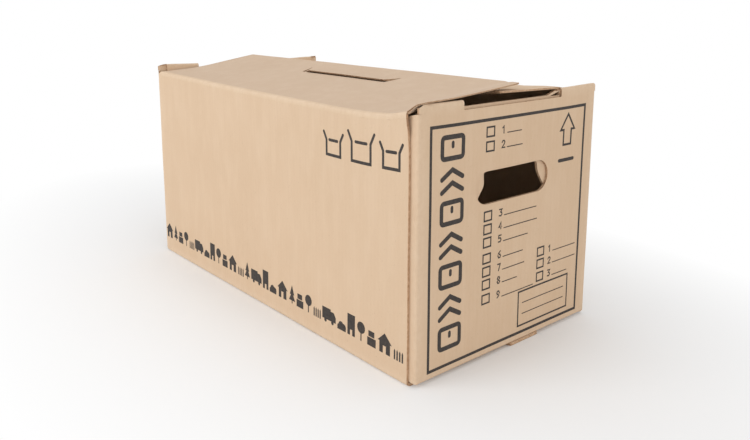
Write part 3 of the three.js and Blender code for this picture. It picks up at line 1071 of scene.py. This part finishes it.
# Strokes of the numbers, in a box one wide and one and a half high
digitStrokes = {
    1: [[(0.15, 1.15), (0.55, 1.5), (0.55, 0)]],
    2: [[(0.05, 1.15), (0.3, 1.5), (0.75, 1.5), (0.95, 1.15), (0.8, 0.8), (0.05, 0), (1, 0)]],
    3: [[(0.05, 1.5), (0.95, 1.5), (0.45, 0.9), (0.85, 0.75), (0.95, 0.35), (0.65, 0), (0.05, 0.1)]],
    4: [[(0.75, 0), (0.75, 1.5), (0.05, 0.45), (1, 0.45)]],
    5: [[(0.95, 1.5), (0.15, 1.5), (0.1, 0.85), (0.7, 0.9), (0.95, 0.5), (0.7, 0), (0.05, 0.05)]],
    6: [[(0.85, 1.5), (0.3, 1.1), (0.05, 0.5), (0.3, 0), (0.75, 0), (0.95, 0.4), (0.7, 0.8), (0.2, 0.7)]],
    7: [[(0.05, 1.5), (0.95, 1.5), (0.4, 0)]],
    8: [[(0.5, 0.8), (0.1, 1.1), (0.3, 1.5), (0.7, 1.5), (0.9, 1.1), (0.5, 0.8), (0.95, 0.4), (0.7, 0),
         (0.3, 0), (0.05, 0.4), (0.45, 0.78)]],
    9: [[(0.2, 0), (0.7, 0.4), (0.95, 1.0), (0.7, 1.5), (0.25, 1.5), (0.05, 1.1), (0.3, 0.7), (0.8, 0.8)]],
}

# The end panel's print, in millimetres across and up the panel
endPrint = {
    "frame": (-134, 13, 134, 281),
    "frameLine": 3.6,
    "tick": (12.5, 10.5),  # each tick box
    "tickLine": 2.0,
    "numberLine": 1.65,
    "ruleLine": 1.2,
    "leftTicks": [(267.5, 11), (251, 13), (171, 44.5), (155.5, 46.5), (140, 30), (121, 22), (105.5, 25.5),
                  (90, 12.5), (72.5, 44)],  # middle height, and where its writing line ends
    "leftColumn": -48.5,
    "leftGap": 13,  # from a tick box to its number
    "rightTicks": [(107.5, 127), (92, 128), (75.5, 111.5)],
    "rightColumn": 51,
    "rightGap": 9,
    "numberSize": 5.2,
    "arrowTip": (100.3, 273),
    "arrowHead": (27.5, 19),
    "arrowShaft": (15, 18.5),
    "arrowLine": 2.8,
    "groundBar": (84, 116, 216.5),
    "groundLine": 4.4,
    "noteBox": (17, 21.5, 114.5, 65),
    "noteBoxLine": 2.2,
    "noteLines": (50, 36),
    "columnMiddle": -101.5,
    "columnFrom": 27,
    "columnTo": 275,
    "columnWidth": 37,
    "columnLine": 5.4,
    "columnSigns": 7,
    "columnGap": 7,
}


def scaled(points, acrossShift=0.0, upShift=0.0, size=1.0):
    return [((x * size + acrossShift) * mm, endPattern((y * size + upShift) * mm)) for x, y in points]


def tickRow(number, column, gap, middle, lineEnd):
    wide, high = endPrint["tick"]
    corner = boxPoints(column, middle - high / 2, column + wide, middle + high / 2)
    shapes = [ringShape(scaled(corner), endPrint["tickLine"] * mm)]
    size = endPrint["numberSize"]
    start = column + wide + gap
    for stroke in digitStrokes[number]:
        strokeLine = scaled(stroke, start, middle - size * 0.75, size)
        shapes.append(lineShape(strokeLine, endPrint["numberLine"] * mm))
    rule = [(start + size + 4, middle - size * 0.75), (lineEnd, middle - size * 0.75)]
    shapes.append(lineShape(scaled(rule), endPrint["ruleLine"] * mm))
    return shapes


def upArrow():
    tipY, tipZ = endPrint["arrowTip"]
    headWide, headHigh = endPrint["arrowHead"]
    shaftWide, shaftHigh = endPrint["arrowShaft"]
    base, foot = tipZ - headHigh, tipZ - headHigh - shaftHigh
    head, shaft = headWide / 2, shaftWide / 2
    outline = [(tipY, tipZ), (tipY - head, base), (tipY - shaft, base), (tipY - shaft, foot),
               (tipY + shaft, foot), (tipY + shaft, base), (tipY + head, base)]
    left, right, level = endPrint["groundBar"]
    return [ringShape(scaled(outline), endPrint["arrowLine"] * mm),
            lineShape(scaled([(left + 2, level), (right - 2, level)]), endPrint["groundLine"] * mm)]


def cartonSign(middle, wide, high):
    line = endPrint["columnLine"]
    across = endPrint["columnMiddle"]
    inset = (wide - line) / 2
    low, top = middle - high / 2 + line / 2, middle + high / 2 - line / 2
    body = boxPoints(across - inset, low, across + inset, top)
    tape = [(across, middle + high / 2 - line * 1.5 - 1), (across, middle + 1)]
    return [ringShape(softened(scaled(body), 4 * mm), line * mm), lineShape(scaled(tape), line * mm * 0.8)]


def chevronSign(middle, wide, high):
    line = endPrint["columnLine"]
    across = endPrint["columnMiddle"]
    inset = (wide - line) / 2
    shapes = []
    for lift in (-high * 0.26, high * 0.24):
        low, top = middle + lift - high * 0.16, middle + lift + high * 0.16
        stroke = [(across - inset, low), (across, top), (across + inset, low)]
        shapes.append(lineShape(scaled(stroke), line * mm))
    return shapes


def endPanelPrint():
    shapes = [ringShape(scaled(boxPoints(*endPrint["frame"])), endPrint["frameLine"] * mm)]
    for side in ("left", "right"):
        column, gap = endPrint[side + "Column"], endPrint[side + "Gap"]
        for number, (middle, lineEnd) in enumerate(endPrint[side + "Ticks"], 1):
            shapes += tickRow(number, column, gap, middle, lineEnd)
    shapes += upArrow()
    left, low, right, high = endPrint["noteBox"]
    shapes.append(ringShape(scaled(boxPoints(left, low, right, high)), endPrint["noteBoxLine"] * mm))
    for level in endPrint["noteLines"]:
        rule = scaled([(left + 8, level), (right - 8, level)])
        shapes.append(lineShape(rule, endPrint["ruleLine"] * mm))
    count = endPrint["columnSigns"]
    pitch = (endPrint["columnTo"] - endPrint["columnFrom"]) / count
    for i in range(count):
        sign = chevronSign if i % 2 else cartonSign
        middle = endPrint["columnFrom"] + pitch * (i + 0.5)
        shapes += sign(middle, endPrint["columnWidth"], pitch - endPrint["columnGap"])
    return shapes


# The side wall's print, in millimetres along and up the wall
sidePrint = {
    "markLeft": 142,
    "markFoot": 236,
    "markSizes": [1.0, 1.25, 1.0],
    "markStrokes": [[(2, 27), (7, 18), (7, 0), (33, 0), (33, 18), (38, 27)], [(12.5, 18), (27.5, 18)]],
    "markWidth": 40,
    "markGap": 5,
    "markLine": 3.6,
    "rowFrom": -296,
    "rowTo": 286,
    "rowFoot": 24,
    "rowGap": 3.2,
    "rowOrder": [0, 3, 2, 1, 5, 4, 7, 6, 1, 2, 0, 5, 3, 4, 6, 7],
}


def arcPoints(middleX, middleY, radius, first, last, count=14):
    turns = [math.radians(first + (last - first) * i / count) for i in range(count + 1)]
    return [(middleX + radius * math.cos(t), middleY + radius * math.sin(t)) for t in turns]


def rowMotifs():
    # Simple filled shapes on one ground line: (width, parts)
    house = [[(3, 0), (9, 0), (9, 9), (14, 9), (14, 0), (21, 0), (21, 13), (24, 13), (12, 24), (0, 13),
              (3, 13)]]
    tree = [[(7, 0), (9, 0), (9, 9)] + arcPoints(8, 16, 7.2, -82, 262) + [(7, 9)]]
    pine = [[(6, 0), (8, 0), (8, 4), (14, 4), (9.5, 12), (12, 12), (7, 25), (2, 12), (4.5, 12), (0, 4),
             (6, 4)]]
    stack = [boxPoints(0, 0, 15, 10), boxPoints(2, 11, 12.5, 18)]
    van = [[(0, 4), (27, 4), (27, 11), (23, 16.5), (17, 16.5), (17, 19), (0, 19)],
           arcPoints(6.5, 2.6, 2.5, 0, 337.5, 15), arcPoints(20.5, 2.6, 2.5, 0, 337.5, 15)]
    fence = [[(x, 0), (x + 2.4, 0), (x + 2.4, 10), (x + 1.2, 12.5), (x, 10)] for x in (0, 4.2, 8.4, 12.6)]
    tower = [[(0, 0), (5, 0), (5, 7), (9, 7), (9, 0), (14, 0), (14, 26), (0, 26)]]
    bush = [[(0, 0), (16, 0)] + arcPoints(12, 4.5, 4.6, -20, 95, 6) + arcPoints(7, 6, 5, 40, 150, 6)
            + arcPoints(3.6, 3.6, 3.7, 110, 200, 5)]
    return [(24, house), (16, tree), (15, stack), (14, pine), (27, van), (15, fence), (14, tower),
            (16, bush)]


def sidePoint(x, z):
    return (x * mm, z * mm - foldRadius)


def sideWallPrint():
    shapes = []
    motifs = rowMotifs()
    order = sidePrint["rowOrder"]
    at, turn = sidePrint["rowFrom"], 0
    while True:
        width, parts = motifs[order[turn % len(order)]]
        if at + width > sidePrint["rowTo"]:
            break
        for part in parts:
            shapes.append(([sidePoint(at + x, sidePrint["rowFoot"] + y) for x, y in part], []))
        at += width + sidePrint["rowGap"]
        turn += 1
    left = sidePrint["markLeft"]
    for size in sidePrint["markSizes"]:
        for stroke in sidePrint["markStrokes"]:
            line = [sidePoint(left + x * size, sidePrint["markFoot"] + y * size) for x, y in stroke]
            shapes.append(lineShape(line, sidePrint["markLine"] * mm))
        left += sidePrint["markWidth"] * size + sidePrint["markGap"]
    return shapes


inkPiece("endPanelPrint", endPanelPrint(), placeEnd(1, halfWidth - ends["tabStep"], halfWidth))
inkPiece("sideWallPrint", sideWallPrint(), placeSide(-1))

# Floor, lights and camera
studio = {
    "floorSize": 14.0,
    "floorTone": 0.92,
    "shadowFrom": 0.16,  # across from the middle of the floor
    "shadowTo": 0.5,
    "skyLight": 0.62,
    "lights": {  # place, size and power
        "key": ((-0.9, -2.6, 1.5), 1.8, 31.0),
        "fill": ((2.7, -0.6, 1.2), 1.8, 14.0),
        "top": ((0.2, 0.4, 2.6), 2.2, 7.6),
    },
    "lightsAim": (0, 0, 0.15),
}


def seenDirectly(tree):
    path = addNode(tree, "ShaderNodeLightPath")
    seen = combine(tree, "MAXIMUM", path.outputs["Is Camera Ray"], path.outputs["Is Glossy Ray"])
    return combine(tree, "MAXIMUM", seen, path.outputs["Is Transmission Ray"])


def whiteFloor():
    # Pale floor that takes the shadow round the box, and is plain white to the camera further out
    material, tree, shader = newMaterial("pale floor")
    output = next(n for n in tree.nodes if n.type == "OUTPUT_MATERIAL")
    tone = studio["floorTone"]
    connect(tree, shader, {"Base Color": (tone, tone, tone, 1), "Roughness": 1.0, "Specular IOR Level": 0.0})
    where = addNode(tree, "ShaderNodeTexCoord").outputs["Object"]
    squeeze = addNode(tree, "ShaderNodeMapping", {"Scale": (halfWidth / halfLength, 1, 1), "Vector": where})
    distance = addNode(tree, "ShaderNodeVectorMath", {0: squeeze.outputs[0]}, operation="LENGTH")
    far = ramp(tree, distance.outputs["Value"], studio["shadowFrom"], studio["shadowTo"])
    share = combine(tree, "MULTIPLY", far, seenDirectly(tree))
    glow = addNode(tree, "ShaderNodeEmission").outputs[0]
    mix = addNode(tree, "ShaderNodeMixShader", {0: share, 1: shader.outputs[0], 2: glow})
    tree.links.new(mix.outputs[0], output.inputs[0])
    return material


def makeFloor():
    size = studio["floorSize"]
    mesh = bpy.data.meshes.new("floor")
    corners = [(-size, -size, 0), (size, -size, 0), (size, size, 0), (-size, size, 0)]
    mesh.from_pydata(corners, [], [(0, 1, 2, 3)])
    mesh.materials.append(whiteFloor())
    floor = newObject("floor", mesh)
    floor.location.z = -0.3 * mm
    floor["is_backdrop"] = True


def makeSky():
    world = bpy.data.worlds.new("studio")
    world.use_nodes = True
    tree = world.node_tree
    tree.nodes.clear()
    strength = ramp(tree, seenDirectly(tree), 0, 1, studio["skyLight"], 1.0)
    background = addNode(tree, "ShaderNodeBackground", {0: (1, 1, 1, 1), 1: strength})
    addNode(tree, "ShaderNodeOutputWorld", {0: background.outputs[0]})
    bpy.context.scene.world = world


def softLight(name, place, size, power):
    lamp = bpy.data.lights.new(name, "AREA")
    lamp.shape = "SQUARE"
    lamp.size = size
    lamp.energy = power
    light = newObject(name, lamp)
    light.location = place
    aim = Vector(studio["lightsAim"]) - Vector(place)
    light.rotation_euler = aim.to_track_quat("-Z", "Y").to_euler()


# Where the photographer stood. Part of the view down comes from the tilt and part from the lens's shift.
shot = {
    "place": (827.6 * mm, -659.2 * mm, 408.5 * mm),
    "heading": 139.56,
    "tilt": -10.46,
    "roll": 0.12,
    "focalPixels": 741.9,
    "axisRow": 137.5,
    "imageWidth": 750,
    "imageHeight": 440,
}


def makeCamera():
    heading, tilt, roll = (math.radians(shot[k]) for k in ("heading", "tilt", "roll"))
    ahead = Vector((math.cos(heading) * math.cos(tilt), math.sin(heading) * math.cos(tilt), math.sin(tilt)))
    right = ahead.cross(Vector((0, 0, 1))).normalized()
    up = right.cross(ahead)
    right, up = (right * math.cos(roll) + up * math.sin(roll), up * math.cos(roll) - right * math.sin(roll))
    lens = bpy.data.cameras.new("camera")
    lens.sensor_fit = "HORIZONTAL"
    lens.sensor_width = 36
    lens.lens = shot["focalPixels"] * lens.sensor_width / shot["imageWidth"]
    lens.shift_y = -(shot["imageHeight"] / 2 - shot["axisRow"]) / shot["imageWidth"]
    camera = newObject("camera", lens)
    rotation = Matrix((right, up, -ahead)).transposed().to_4x4()
    camera.matrix_world = Matrix.Translation(Vector(shot["place"])) @ rotation
    bpy.context.scene.camera = camera


makeFloor()
makeSky()
for lightName, (lightPlace, lightSize, lightPower) in studio["lights"].items():
    softLight(lightName, lightPlace, lightSize, lightPower)
makeCamera()
bpy.context.scene.view_settings.view_transform = "Standard"
print("studio ready")

boxes = {"cad": cadBounds, "visual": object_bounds()}
{k: [list(map(float, corner)) for corner in v] for k, v in boxes.items()}
